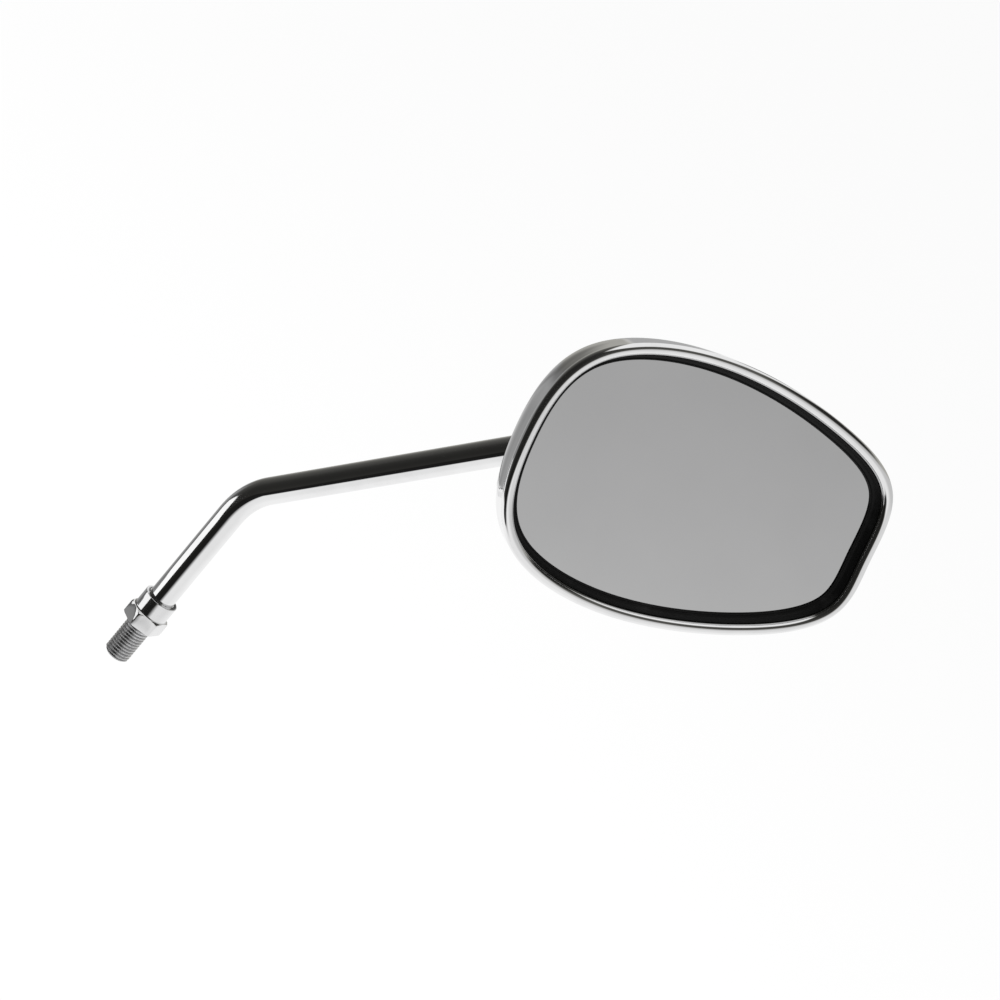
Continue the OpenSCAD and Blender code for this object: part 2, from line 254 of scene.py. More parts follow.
def chromeFinish(name, tint=None, rough=None, waveDepth=None):
    look = chromeLook
    f = Finish(name, metallic=1.0)
    cloud = f.noise(f.place, look["cloudSize"], 4.0, 0.6)
    wipe = f.noise(f.place, 420.0, 2.0, 0.5)
    f.put("Base Color", f.blendColours(cloud.ramp(0.35, 0.75), tint or look["tint"], look["shade"]))
    base = look["rough"] if rough is None else rough
    f.put("Roughness", cloud.ramp(0.45, 0.8) * look["smudge"] + wipe * look["wipe"] + base)
    f.relief(f.noise(f.place, look["waveSize"], 2.0, 0.4), waveDepth or look["waveDepth"], look["waveShare"])
    return f.material


def steelFinish(name, tint, rough):
    f = Finish(name, metallic=1.0)
    cloud = f.noise(f.place, 260.0, 5.0, 0.6)
    grain = f.noise(f.place, 2600.0, 3.0, 0.6)
    dark = tuple(c * 0.72 for c in tint)
    f.put("Base Color", f.blendColours(cloud.ramp(0.35, 0.7), tint, dark))
    f.put("Roughness", cloud * 0.16 + grain * 0.10 + (rough - 0.1))
    f.relief(grain, 0.00001, 0.4)
    return f.material


# the thread's root colour is far darker than its crests: painted shade in the roots
threadLook = {"roots": (0.33, 0.33, 0.333), "crests": (0.84, 0.84, 0.845), "worn": (0.60, 0.60, 0.605),
              "rough": 0.25, "grit": 0.25, "rootToCrest": (0.00425, 0.00492), "chromeEnds": (0.0002, -0.0002)}


def stemFinish():
    # chrome on the rod, dull bare steel on the thread, with painted shade darkening its roots
    chrome, bare = chromeLook, threadLook
    f = Finish("stemChrome", metallic=1.0)
    x, y, z = f.split(f.place)
    cloud = f.noise(f.place, chrome["cloudSize"], 4.0, 0.6)
    grit = f.noise(f.place, 1900.0, 4.0, 0.65)
    plated = f.blendColours(cloud.ramp(0.35, 0.75), chrome["tint"], chrome["shade"])
    # darker towards the thread's roots by radius: painted shade
    crestShare = (x * x + y * y).root().ramp(*bare["rootToCrest"])
    steel = f.blendColours(crestShare, bare["roots"], bare["crests"])
    worn = f.blendColours(grit.ramp(0.4, 0.75), steel, bare["worn"])
    threadShare = z.ramp(*bare["chromeEnds"])
    f.put("Base Color", f.blendColours(threadShare, plated, worn))
    smoothRough = cloud.ramp(0.45, 0.8) * chrome["smudge"] + chrome["rough"]
    bareRough = grit * bare["grit"] + bare["rough"]
    f.put("Roughness", f.blend(threadShare, smoothRough, bareRough))
    waves = f.noise(f.place, chrome["waveSize"], 2.0, 0.4)
    f.relief(waves * (1 - threadShare) + grit * threadShare * 2.0, chrome["waveDepth"], chrome["waveShare"])
    return f.material


rubberLook = {"clean": (0.003, 0.003, 0.003), "dusty": (0.009, 0.009, 0.009), "rough": 0.38, "depth": 0.00004}


def rubberFinish():
    look = rubberLook
    f = Finish("gasketRubber", Specular_IOR_Level=0.22)
    fine = f.noise(f.place, 1500.0, 4.0, 0.6)
    dust = f.noise(f.place, 90.0, 5.0, 0.65)
    f.put("Base Color", f.blendColours(dust.ramp(0.5, 0.8), look["clean"], look["dusty"]))
    f.put("Roughness", fine * 0.2 + dust * 0.1 + look["rough"])
    f.relief(fine, look["depth"], 0.5)
    return f.material


glassLook = {"tint": (0.53, 0.53, 0.531), "shade": (0.51, 0.51, 0.511), "rough": 0.025}


def mirrorFinish():
    look = glassLook
    f = Finish("silveredGlass", metallic=1.0)
    cloud = f.noise(f.place, 22.0, 3.0, 0.5)
    dust = f.noise(f.place, 700.0, 3.0, 0.6)
    f.put("Base Color", f.blendColours(cloud.ramp(0.3, 0.8), look["tint"], look["shade"]))
    f.put("Roughness", cloud.ramp(0.4, 0.8) * 0.02 + dust * 0.01 + look["rough"])
    return f.material


nylonLook = {"tint": (0.80, 0.77, 0.69), "shade": (0.70, 0.66, 0.57), "rough": 0.38, "depth": 0.00003}


def nylonFinish():
    look = nylonLook
    f = Finish("nylonSeat")
    cloud = f.noise(f.place, 180.0, 4.0, 0.6)
    fine = f.noise(f.place, 1700.0, 3.0, 0.6)
    f.put("Base Color", f.blendColours(cloud.ramp(0.3, 0.75), look["tint"], look["shade"]))
    f.put("Roughness", fine * 0.15 + look["rough"])
    f.relief(fine, look["depth"], 0.4)
    return f.material


# the pits of the foam's cells carry a darker colour: painted shade
foamLook = {"cellSize": 1300.0, "deep": (0.035, 0.035, 0.037), "high": (0.10, 0.10, 0.105), "rough": 0.86,
            "depth": 0.0002}


def foamFinish():
    look = foamLook
    f = Finish("foamPad", Specular_IOR_Level=0.2)
    cells = f.node("ShaderNodeTexVoronoi", None, {"Vector": f.place, "Scale": look["cellSize"]}, "Distance")
    cloud = f.noise(f.place, 240.0, 4.0, 0.6)
    # darker towards the middle of each cell, where the relief sinks: painted shade in the pits
    f.put("Base Color", f.blendColours(cells.ramp(0.1, 0.7), look["deep"], look["high"]))
    f.put("Roughness", cloud * 0.1 + look["rough"])
    f.relief(cells, look["depth"], 0.8)
    return f.material


plasticLook = {"tint": (0.028, 0.028, 0.030), "shade": (0.045, 0.045, 0.048), "rough": 0.42, "depth": 0.00004}


def plasticFinish():
    look = plasticLook
    f = Finish("backingPlastic", Specular_IOR_Level=0.4)
    fine = f.noise(f.place, 1100.0, 3.0, 0.6)
    f.put("Base Color", f.blendColours(fine.ramp(0.35, 0.7), look["tint"], look["shade"]))
    f.put("Roughness", fine * 0.2 + look["rough"])
    f.relief(fine, look["depth"], 0.4)
    return f.material


stemChrome = stemFinish()
headChrome = chromeFinish("headChrome")
nutChrome = chromeFinish("nutChrome", (0.80, 0.80, 0.803), rough=0.08)
castChrome = chromeFinish("castChrome", rough=0.09, waveDepth=0.00004)
zincSteel = steelFinish("zincSteel", (0.60, 0.60, 0.61), 0.30)
springSteel = steelFinish("springSteel", (0.42, 0.42, 0.43), 0.34)
ballSteel = steelFinish("ballSteel", (0.68, 0.68, 0.69), 0.22)
gasketRubber = rubberFinish()
silveredGlass = mirrorFinish()
nylonSeat = nylonFinish()
foamPad = foamFinish()
backingPlastic = plasticFinish()
print("finishes made:", len(bpy.data.materials))


# Stem

thread = {"pitch": 1.25, "crestR": 4.95, "rootR": 4.22, "low": -15.0, "high": 12.0, "tipR": 3.85,
          "chamfer": 1.0, "runOut": 1.5, "around": 72, "perTurn": 8}


def threadRings():
    # rows that climb with the helix, held between the thread's ends
    t = thread
    shape = [0.0, 0.18, 0.62, 1.0, 1.0, 0.82, 0.38, 0.0]  # root to crest to root over one turn
    rowsCount = int(math.ceil((t["high"] - t["low"]) / t["pitch"] + 2) * t["perTurn"])
    rings = []
    for j in range(rowsCount):
        ring = []
        for i in range(t["around"] + 1):
            turnShare = i / t["around"]
            climb = t["low"] - t["pitch"] + t["pitch"] * (j / t["perTurn"] + turnShare)
            rise = shape[j % t["perTurn"]]
            z = min(max(climb, t["low"]), t["high"])
            r = t["rootR"] + (t["crestR"] - t["rootR"]) * rise
            r = min(r, t["tipR"] + (z - t["low"]) / t["chamfer"] * (t["crestR"] - t["tipR"]))
            runOut = min(1.0, max(0.0, (z - (t["high"] - t["runOut"])) / t["runOut"]))
            r = r + (t["crestR"] - r) * runOut
            ring.append((r * math.cos(tau * turnShare), r * math.sin(tau * turnShare), z))
        rings.append(ring)
    return rings


def stemMesh():
    s, t = stem, thread
    points, faces = [], []
    rows = threadRings()
    wide = t["around"] + 1
    for row in rows:
        points += row
    # the weld closes the seam, because a row's last point is the first of the row one turn up
    for j in range(len(rows) - 1):
        for i in range(t["around"]):
            a = j * wide + i
            faces.append([a, a + 1, a + 1 + wide, a + wide])
    # flat tip
    start = len(points)
    points.append((0, 0, t["low"]))
    tipStart = len(points)
    for i in range(t["around"]):
        angle = tau * i / t["around"]
        points.append((t["tipR"] * math.cos(angle), t["tipR"] * math.sin(angle), t["low"]))
    for i in range(t["around"]):
        faces.append([start, tipStart + (i + 1) % t["around"], tipStart + i])
    # rod, bend, arm, shoulder and shank as rings along the centre line
    reach = s["bendR"] * math.tan(bend / 2)
    stations = [((0, 0, t["high"]), 0.0, t["crestR"]), ((0, 0, t["high"] + 0.05), 0.0, s["rodR"] - 0.02)]
    straight = s["cornerZ"] - reach - t["high"] - 0.3
    for share in np.linspace(0, 1, 5):
        stations.append(((0, 0, t["high"] + 0.3 + share * straight), 0.0, s["rodR"]))
    for share in np.linspace(0, 1, 29)[1:]:
        angle = share * bend
        stations.append(((s["bendR"] * (1 - math.cos(angle)), 0,
                          s["cornerZ"] - reach + s["bendR"] * math.sin(angle)), angle, s["rodR"]))

    def armPoint(fromBall):
        p = ballPlace + armWay * fromBall
        return (p.x, p.y, p.z)
    shoulder = -s["shoulderAt"]
    for share in np.linspace(0, 1, 8)[1:]:
        along = reach - s["armLen"] + share * (s["armLen"] - reach - s["shoulderAt"] - s["shoulderLen"])
        stations.append((armPoint(along), bend, s["rodR"]))
    stations += [(armPoint(shoulder), bend, s["shankR"]), (armPoint(shoulder + 0.01), bend, s["shankR"]),
                 (armPoint(s["rodEnd"]), bend, s["shankR"])]
    count = t["around"]
    first = len(points)
    for centre, angle, r in stations:
        for i in range(count):
            c, d = math.cos(tau * i / count), math.sin(tau * i / count)
            points.append((centre[0] + r * c * math.cos(angle), centre[1] + r * d,
                           centre[2] - r * c * math.sin(angle)))
    for j in range(len(stations) - 1):
        for i in range(count):
            l = (i + 1) % count
            a = first + j * count
            faces.append([a + i, a + l, a + count + l, a + count + i])
    last = first + (len(stations) - 1) * count
    faces.append([last + i for i in range(count)])
    return rowMetres(points), faces


stemPoints, stemFaces = stemMesh()
stemRod = meshPiece("stemRod", stemPoints, stemFaces, stemChrome, 40.0)
weld(stemRod, 2e-6)
smoothMesh(stemRod.data, 40.0)
place(stemRod, "stem", "chrome", "stem_rod")
place(refined("stem_ball", ballSteel, "stemBall"), "stem", "steel", "stem_ball")
print("stem made")


# Lock nut

nut = {"footZ": 1.0, "flats": 14.0, "turnDeg": 39.0, "hexH": 5.7, "height": 12.7, "collarR": 6.65,
       "fillet": 0.8, "chamfer": 0.5, "edge": 0.2, "boreR": 5.05, "boreFoot": 0.3, "boreTop": 0.22,
       "faceR": 6.4, "cornerCut": 0.06, "around": 144}


def nutRings():
    n = nut
    angles = np.array([tau * i / n["around"] for i in range(n["around"])])
    cornerR, footR = n["flats"] / math.sqrt(3), n["collarR"] + n["fillet"]
    fromFlat = (angles + math.pi / 6) % (math.pi / 3) - math.pi / 6
    hexR = np.minimum(n["flats"] / 2 / np.cos(math.pi / 6 - np.abs(fromFlat)), cornerR - n["cornerCut"])
    turned = angles + math.radians(n["turnDeg"])
    ways = np.column_stack([np.cos(turned), np.sin(turned)])

    def ring(radii, z):
        radii, z = np.broadcast_to(radii, len(angles)), np.broadcast_to(z, len(angles))
        return np.column_stack([ways * radii[:, None], z + n["footZ"]])

    def shoulderZ(radii):
        # level of the turned shoulder: a cone outside the fillet's foot, the fillet inside it
        inside = np.clip(footR - radii, 0, n["fillet"])
        return (n["hexH"] - np.maximum(radii - footR, 0) + n["fillet"]
                - np.sqrt(n["fillet"] ** 2 - inside ** 2))
    flatR = cornerR - n["chamfer"]
    dropIn = np.maximum(hexR - flatR, 0) * 0.6
    rings = [ring(n["boreR"], n["boreFoot"]), ring(n["boreR"] + n["boreFoot"], 0.0), ring(n["faceR"], 0.0),
             ring(hexR - 0.1 - dropIn, 0.0), ring(hexR - 0.03, dropIn * 0.9 + 0.02), ring(hexR, dropIn + 0.1),
             ring(hexR, shoulderZ(hexR) - 0.12)]
    # up the cone and the fillet, with rows closer together near the collar
    for share in [0.06] + list(np.sin(np.radians(np.arange(10, 91, 8)))):
        radii = hexR + (n["collarR"] - hexR) * share
        rings.append(ring(radii, shoulderZ(radii)))
    for a in np.linspace(0, math.pi / 2, 5):
        rings.append(ring(n["collarR"] - n["edge"] * (1 - math.cos(a)),
                          n["height"] - n["edge"] * (1 - math.sin(a))))
    rings += [ring(n["boreR"] + n["boreTop"], n["height"]), ring(n["boreR"], n["height"] - n["boreTop"])]
    return [r * mm for r in rings]


place(skin("lockNut", nutRings(), nutChrome, sharpDeg=32.0), "lock_nut", "chrome", "lock_nut")
print("lock nut made")


# Head outline

rimLook = {"length": 135.0, "width": 92.0, "perSpan": 26}
rimShares = [(0.6595, -0.142), (0.696, 0.15), (0.514, 0.305), (0.129, 0.465), (-0.274, 0.371),
             (-0.339, -0.047), (-0.32, -0.467), (0.038, -0.612), (0.433, -0.522), (0.6675, -0.371)]
rimMid = np.array([0.218 * rimLook["length"], -0.087 * rimLook["width"]])


def rimCurve():
    corners = np.array(rimShares) * (rimLook["length"], rimLook["width"])
    count, steps = len(corners), rimLook["perSpan"]
    line, outward = [], []
    for i in range(count * steps):
        k, t = i // steps, (i % steps) / steps
        weights = [(1 - t) ** 3 / 6, (3 * t ** 3 - 6 * t * t + 4) / 6,
                   (-3 * t ** 3 + 3 * t * t + 3 * t + 1) / 6, t ** 3 / 6]
        slopes = [-(1 - t) ** 2 / 2, (3 * t * t - 4 * t) / 2, (-3 * t * t + 2 * t + 1) / 2, t * t / 2]
        near = [corners[(k + j - 1) % count] for j in range(4)]
        run = sum(w * p for w, p in zip(slopes, near))
        line.append(sum(w * p for w, p in zip(weights, near)))
        outward.append(np.array([run[1], -run[0]]) / np.hypot(*run))
    return np.array(line), np.array(outward)


rimLine, rimOutward = rimCurve()


def rimRing(offset, z):
    flat = rimLine + rimOutward * offset
    return np.column_stack([flat, np.broadcast_to(z, len(flat))])


def domeRing(offset, radius, z, share):
    flat = rimLine + rimOutward * offset
    circle = flat / np.linalg.norm(flat, axis=1)[:, None] * radius
    return np.column_stack([circle + (flat - circle) * share, np.full(len(flat), z)])


# Housing

shell = {"crestZ": 34.0, "beadR": 2.0, "sheet": 1.0, "wallZ": 26.5, "backZ": 5.0, "flatR": 20.5,
         "flatMidR": 17.0, "holeR": 13.8, "wallOut": 1.6, "wallLean": 0.3, "lipDrop": 1.4, "wallDrop": 1.8}


def housingRings():
    s = shell
    beadZ = s["crestZ"] - s["beadR"]
    innerR = s["beadR"] - s["sheet"]
    lipZ, wallTopZ = beadZ - s["lipDrop"], beadZ - s["wallDrop"]
    rings = [rimRing(-s["beadR"] + 0.1, lipZ), rimRing(-s["beadR"], lipZ + 0.1)]
    for a in np.linspace(math.pi, 0, 25):  # over the bead
        rings.append(rimRing(s["beadR"] * math.cos(a), beadZ + s["beadR"] * math.sin(a)))
    rings += [rimRing(s["beadR"] - 0.06, beadZ - 0.7), rimRing(s["beadR"] - 0.2, beadZ - 1.25),
              rimRing(s["wallOut"] + 0.02, wallTopZ + 0.2), rimRing(s["wallOut"], wallTopZ)]
    wallFoot = s["wallOut"] - s["wallLean"]
    for share in (0.3, 0.7):
        offset = s["wallOut"] - s["wallLean"] * share
        rings.append(rimRing(offset, wallTopZ + (s["wallZ"] - wallTopZ) * share))
    drop = s["wallZ"] - s["backZ"]
    for a in np.linspace(0, math.pi / 2, 33):  # down the domed back
        rings.append(domeRing(wallFoot, s["flatR"], s["wallZ"] - drop * math.sin(a), math.cos(a)))
    for r in (s["flatMidR"], s["holeR"] + 0.25):  # in to the hole for the joint
        rings.append(domeRing(0, r, s["backZ"], 0))
    rings += [domeRing(0, s["holeR"], s["backZ"] + 0.25, 0),
              domeRing(0, s["holeR"], s["backZ"] + s["sheet"], 0)]
    floorZ, innerWallZ = s["backZ"] + s["sheet"], s["wallZ"] + s["sheet"] / 2
    for a in np.linspace(math.pi / 2, 0, 25):  # back up inside
        innerZ = innerWallZ - (innerWallZ - floorZ) * math.sin(a)
        rings.append(domeRing(wallFoot - s["sheet"], s["flatR"], innerZ, math.cos(a)))
    rings.append(rimRing(s["wallOut"] - s["sheet"], beadZ - 1.7))
    for a in np.linspace(0, math.pi, 13):  # inside of the bead
        rings.append(rimRing(innerR * math.cos(a), beadZ + innerR * math.sin(a)))
    rings += [rimRing(-innerR, lipZ + 0.1), rimRing(-innerR - 0.1, lipZ)]
    return [headToRow(r) for r in rings]


place(skin("housing", housingRings(), headChrome, sharpDeg=50.0), "head", "chrome", "housing")
print("housing made")


# Glass and what holds it

pane = {"show": 4.85, "lap": 1.5, "apexZ": 29.4, "thick": 2.0, "sphereR": 1300.0, "foam": 4.0,
        "foamLowZ": 23.42, "backing": 1.0, "gap": 0.1}


def paneDrop(flat):
    return pane["sphereR"] - np.sqrt(pane["sphereR"] ** 2 - np.sum((flat - rimMid) ** 2, axis=1))


def paneRing(offset, rise):
    flat = rimLine + rimOutward * offset
    return np.column_stack([flat, pane["apexZ"] - paneDrop(flat) + rise])


def inwardRings(offset, rise, shares):
    # rings that close in on the middle of the glass
    edge = rimLine + rimOutward * offset
    rings = []
    for share in shares:
        flat = rimMid + (edge - rimMid) * share
        rings.append(np.column_stack([flat, pane["apexZ"] - paneDrop(flat) + rise]))
    return rings


def glassRings():
    p = pane
    inset = p["show"] - p["lap"]
    shares = [0.02, 0.1, 0.2, 0.35, 0.5, 0.65, 0.8, 0.92, 0.99]
    front = inwardRings(-inset - 0.25, 0.0, shares) + [paneRing(-inset - 0.2, 0.0)]
    edge = [paneRing(-inset, -0.2), paneRing(-inset, -p["thick"] + 0.2)]
    back = [paneRing(-inset - 0.2, -p["thick"])] + inwardRings(-inset - 0.25, -p["thick"], shares[::-1])
    return [headToRow(r) for r in front + edge + back]


def slabRings(inset, lowZ, topRise):
    # the foam: flat below, following the glass above
    shares = [0.02, 0.2, 0.4, 0.6, 0.8, 0.95]
    flat = rimLine + rimOutward * -inset

    def low(share):
        f = rimMid + (flat - rimMid) * share
        return np.column_stack([f, np.full(len(f), lowZ)])
    rings = inwardRings(-inset, topRise, shares)
    rings += [paneRing(-inset - 0.3, topRise), paneRing(-inset, topRise - 0.3), rimRing(-inset, lowZ + 0.3),
              rimRing(-inset - 0.3, lowZ)] + [low(s) for s in shares[::-1]]
    return [headToRow(r) for r in rings]


gasketLook = {"lipReach": 2.5, "baseThick": 1.0}


def gasketRings():
    p, s = pane, shell
    beadZ = s["crestZ"] - s["beadR"]
    beadEdge = s["beadR"] + p["gap"]
    wallIn = s["wallOut"] - s["wallLean"] - s["sheet"] - p["gap"]
    inset = p["show"] - p["lap"]
    backingZ = p["apexZ"] - p["thick"] - p["foam"] - p["backing"]
    floorZ, innerWallZ = s["backZ"] + s["sheet"], s["wallZ"] + s["sheet"] / 2
    groove, lip = inset - p["gap"], inset + gasketLook["lipReach"]
    rings = [rimRing(-beadEdge, beadZ - 0.25), rimRing(-beadEdge, beadZ - 1.5), rimRing(wallIn, beadZ - 1.5),
             rimRing(wallIn, innerWallZ)]
    for a in np.radians([5, 10, 15]):
        z = innerWallZ - (innerWallZ - floorZ) * math.sin(a)
        rings.append(domeRing(wallIn, s["flatR"], z, math.cos(a)))
    rings += [rimRing(-lip, backingZ - gasketLook["baseThick"]), rimRing(-lip, backingZ - p["gap"]),
              rimRing(-groove, backingZ - p["gap"]), paneRing(-groove, p["gap"]),
              paneRing(-p["show"] + 0.08, p["gap"])]
    for a in np.radians([150, 120, 90, 60, 30]):  # rounded lip on the glass
        rings.append(paneRing(-p["show"] + 0.45 + 0.4 * math.cos(a), 0.45 + 0.3 * math.sin(a)))
    rings += [paneRing(-groove - 0.3, 0.72), paneRing(-groove + 0.35, 1.2),
              rimRing(-beadEdge - 0.12, beadZ - 0.12)]
    return [headToRow(r) for r in rings]


place(skin("glass", glassRings(), silveredGlass, closed=False, caps=True), "head", "mirror", "glass")
place(skin("gasket", gasketRings(), gasketRubber, sharpDeg=45.0), "head", "rubber", "gasket")
foamRings = slabRings(pane["show"] - pane["lap"] + 0.1, pane["foamLowZ"], -pane["thick"] - 0.05)
place(skin("foamPad", foamRings, foamPad, closed=False, caps=True), "head", "foam", "foam_pad")
place(refined("backing_plate", backingPlastic, "backingPlate"), "head", "plastic", "backing_plate")
print("glass, gasket and pads made")


# Ball joint and clamp

for node, material, body, slotName in [
        ("neck_seat", nylonSeat, "neck_seat", "nylon"),
        ("pressure_seat", nylonSeat, "pressure_seat", "nylon"),
        ("socket", castChrome, "head", "chrome"), ("clamp_plate", zincSteel, "head", "steel"),
        ("clamp_studs", zincSteel, "head", "steel"), ("clamp_washers", zincSteel, "head", "steel"),
        ("clamp_nuts", zincSteel, "head", "steel")]:
    words = node.split("_")
    name = words[0] + "".join(w.capitalize() for w in words[1:])
    place(refined(node, material, name), body, slotName, node)

coil = {"stand": 16.3, "foot": 12.02, "height": 5.46, "wireR": 0.4, "coilR": 3.1, "turns": 4,
        "count": 3, "points": 161, "wireSides": 12}


def coilTree():
    # a coil spring: a spiral line with closed ends, swept by its wire
    tree = bpy.data.node_groups.new("coilSpring", "GeometryNodeTree")
    kit = Kit(tree)
    face = tree.interface
    for label, kind, start in [("Coil radius", "NodeSocketFloat", coil["coilR"] * mm),
                               ("Wire radius", "NodeSocketFloat", coil["wireR"] * mm),
                               ("Height", "NodeSocketFloat", coil["height"] * mm),
                               ("Turns", "NodeSocketFloat", coil["turns"]),
                               ("Foot", "NodeSocketVector", (0.0, 0.0, 0.0)),
                               ("Turned", "NodeSocketVector", (0.0, 0.0, 0.0)),
                               ("Finish", "NodeSocketMaterial", None)]:
        made = face.new_socket(label, in_out="INPUT", socket_type=kind)
        if start is not None:
            made.default_value = start
    face.new_socket("Geometry", in_out="OUTPUT", socket_type="NodeSocketGeometry")
    given = kit.node("NodeGroupInput")
    line = kit.node("GeometryNodeCurvePrimitiveLine", None, {"Start": (0, 0, 0), "End": (0, 0, 1)})
    fine = kit.node("GeometryNodeResampleCurve", None, {"Curve": line, "Count": coil["points"]})
    share = kit.node("GeometryNodeSplineParameter")
    angle = share * given.out("Turns") * tau
    wire = given.out("Wire radius")
    climb = share - (share * tau).wave() * (0.25 / tau)  # climbs less at both ends
    rise = wire + climb * (given.out("Height") - wire * 2)
    spot = kit.join(angle.turn() * given.out("Coil radius"), angle.wave() * given.out("Coil radius"), rise)
    spiral = kit.node("GeometryNodeSetPosition", None, {"Geometry": fine, "Position": spot})
    ring = kit.node("GeometryNodeCurvePrimitiveCircle", None,
                    {"Resolution": coil["wireSides"], "Radius": wire})
    tube = kit.node("GeometryNodeCurveToMesh", None,
                    {"Curve": spiral, "Profile Curve": ring, "Fill Caps": True})
    moved = kit.node("GeometryNodeTransform", None,
                     {"Geometry": tube, "Translation": given.out("Foot"), "Rotation": given.out("Turned")})
    real = kit.node("GeometryNodeRealizeInstances", None, [moved])
    dressed = kit.node("GeometryNodeSetMaterial", None, {"Geometry": real, "Material": given.out("Finish")})
    kit.node("NodeGroupOutput", None, [dressed])
    return tree


def grown(name, tree, inputs):
    # runs a tree on an empty mesh and keeps the result as a plain mesh
    seedPiece = linked(name + "Seed", bpy.data.meshes.new(name + "Seed"))
    modifier = seedPiece.modifiers.new("grow", "NODES")
    modifier.node_group = tree
    sockets = {item.name: item.identifier for item in tree.interface.items_tree if item.in_out == "INPUT"}
    for label, value in inputs.items():
        modifier[sockets[label]] = value
    depsgraph = bpy.context.evaluated_depsgraph_get()
    mesh = bpy.data.meshes.new_from_object(seedPiece.evaluated_get(depsgraph))
    mesh.name = name
    seedPiece.modifiers.clear()
    bpy.data.objects.remove(seedPiece)
    smoothMesh(mesh, 40.0)
    return linked(name, mesh)


springTree = coilTree()
for k in range(coil["count"]):
    standAngle = math.radians(90 + 360 / coil["count"] * k)
    foot = Vector((coil["stand"] * math.cos(standAngle), coil["stand"] * math.sin(standAngle), coil["foot"]))
    spot = (headTurn @ foot + ballPlace) * mm
    turned = (headTurn @ Matrix.Rotation(standAngle, 3, "Z")).to_euler("XYZ")
    spring = grown(f"clampSpring{k + 1}", springTree,
                   {"Foot": tuple(spot), "Turned": tuple(turned), "Finish": springSteel})
    place(spring, "head", "steel", f"clamp_spring_{k + 1}")
print("ball joint and clamp made")


# Stage: camera, floor, light

shot = {"right": (0.57852, 0.53328, 0.61719), "back": (0.43728, -0.84152, 0.31722),
        "place": (0.70047, -1.19632, 0.58939), "lens": 148.5, "sensor": 36.0}
camera = linked("camera", bpy.data.cameras.new("camera"))
camera.data.lens = shot["lens"]
camera.data.sensor_width = shot["sensor"]
camera.data.clip_start, camera.data.clip_end = 0.05, 50.0
backWay = Vector(shot["back"]).normalized()
rightWay = (Vector(shot["right"]) - backWay * Vector(shot["right"]).dot(backWay)).normalized()
upWay = backWay.cross(rightWay)
cameraTurn = Matrix((rightWay, upWay, backWay)).transposed().to_4x4()
camera.matrix_world = Matrix.Translation(shot["place"]) @ cameraTurn
bpy.context.scene.camera = camera


def studioWay(x, y, z):
    # a direction given to the right, up and back of the camera's first place, fixed in the room
    return (rightWay * x + upWay * y + backWay * z).normalized()


# The room as the chrome sees it, on a map in degrees: across to the right and rise upwards
# from the way towards the camera, so 90 is the edge of the half of the room before the part
sky = {"light": 0.89, "floorLight": 0.98, "leftLight": 0.99, "rightLight": 0.92, "rightDip": 0.12,
       "lowDip": 0.17, "plain": 0.9, "lens": (-45, -27), "lensSoft": (-32, -28), "lensLevel": 0.012,
       "middle": (-30, 20), "leftLevel": 0.16, "nearLevels": (0.05, 0.2), "streakLevel": 0.02,
       "patch": (88, 110), "patchLevel": 0.07, "farCorner": 0.42, "tint": (1.0, 0.985, 0.92), "slant": 1.29,
       "ceiling": [(0.0, 0.018), (0.167, 0.018), (0.278, 0.03), (0.344, 0.05), (0.472, 0.085), (0.556, 0.13),
                   (0.622, 0.19), (0.667, 0.30), (0.711, 0.40), (1.0, 0.45)]}
# where each edge on that map starts and where it is full, in degrees
skyEdges = {"leftFar": (140, 172), "leftTop": (100, 85),
            "nearRight": (-84, -98), "nearLeft": (-124, -112), "nearLow": (-5, 10), "nearTop": (50, 38),
            "streakLeft": (60, 72), "streakRight": (106, 100),
            "streakLow": (-108, -90), "streakTop": (-45, -60),
            "cornerLeft": (4, 14), "cornerLow": (27, 41), "cornerSlope": (58, 70), "cornerSlant": (-55, -38),
            "cornerFar": (140, 152), "floorFar": (-70, -110), "leftSide": (-50, -80),
            "dipRight": (10, 80), "dipLow": (-90, -60), "lowDipRight": (15, 30), "lowDipTop": (-46, -28),
            "patchRim": (18, 8), "roofLow": (-31, -22), "roofLeft": (-61, -53), "roofRight": (-42, -22),
            "lensRim": (22.5, 18.5), "lensSoftRim": (34, 6), "tintLeft": (-95, -80)}


